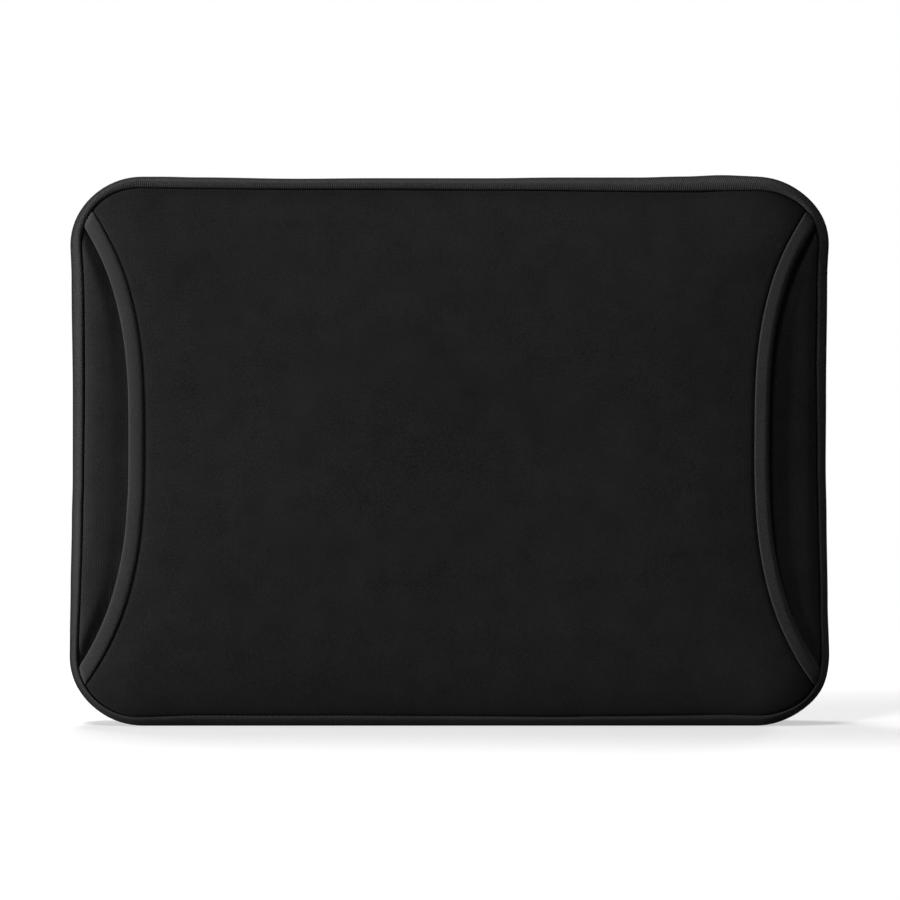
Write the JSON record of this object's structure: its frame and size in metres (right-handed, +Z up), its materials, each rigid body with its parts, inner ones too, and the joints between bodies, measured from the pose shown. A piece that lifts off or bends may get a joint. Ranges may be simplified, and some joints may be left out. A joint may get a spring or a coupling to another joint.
{
  "type": "laptop sleeve",
  "caption": "Padded black laptop sleeve with bound edges, a curved-edge slip pocket across the front and a zip hidden in the gusset.",
  "frame": {"origin": "on the standing surface, under the middle of the sleeve's bounding box", "axes": "+X along the width, front with the slip pocket faces -Y, +Z up"},
  "size_m": [0.4, 0.038, 0.29],
  "materials": {
    "neoprene_jersey": "fine knitted jersey over neoprene, matte with a soft sheen",
    "binding_tape": "ribbed woven binding tape, matte",
    "gusset_cloth": "plain woven nylon, matte",
    "plush_lining": "short brushed plush",
    "foam": "closed-cell foam sheet",
    "zip_tape": "herringbone woven zip tape",
    "zip_teeth": "moulded nylon coil, slightly glossy",
    "black_metal": "black enamelled zinc, semi-gloss",
    "spring_steel": "bright spring steel"
  },
  "bodies": {
    "sleeve": {"back_panel": "neoprene_jersey", "back_foam": "foam", "back_lining": "plush_lining", "back_binding": "binding_tape", "back_gusset": "gusset_cloth", "back_zip_tape": "zip_tape", "back_zip_teeth": "zip_teeth", "lower_gusset": "gusset_cloth", "zip_tail_tapes": "zip_tape", "zip_tail_teeth": "zip_teeth", "zip_stops": "black_metal", "zip_end_tabs": "gusset_cloth", "front_panel_lower": "neoprene_jersey", "front_foam_lower": "foam", "front_lining_lower": "plush_lining", "front_binding_lower": "binding_tape", "pocket_panel_lower": "neoprene_jersey", "pocket_binding_left_lower": "binding_tape", "pocket_binding_right_lower": "binding_tape"},
    "front_flap": {"front_panel_upper": "neoprene_jersey", "front_foam_upper": "foam", "front_lining_upper": "plush_lining", "front_binding_upper": "binding_tape", "pocket_panel_upper": "neoprene_jersey", "pocket_binding_left_upper": "binding_tape", "pocket_binding_right_upper": "binding_tape", "front_gusset": "gusset_cloth", "front_zip_tape": "zip_tape", "front_zip_teeth": "zip_teeth"},
    "zip_slider": {"slider_body": "black_metal", "slider_bridge": "black_metal", "slider_lock_spring": "spring_steel"},
    "zip_pull": {"pull_tab": "black_metal"}
  },
  "joints": [
    {"name": "front_fold", "type": "hinge", "parent": "sleeve", "child": "front_flap", "pos_m": [0, -0.019, 0.1], "axis": [1, 0, 0], "range_deg": [0, 85]},
    {"name": "slider_travel", "type": "slide", "parent": "sleeve", "child": "zip_slider", "axis": [0, 0, 1], "range_m": [0, 0.145]},
    {"name": "pull_swing", "type": "hinge", "parent": "zip_slider", "child": "zip_pull", "pos_m": [0.1983, 0.0031, 0.0957], "axis": [0, -1, 0], "range_deg": [0, 170]}
  ]
}
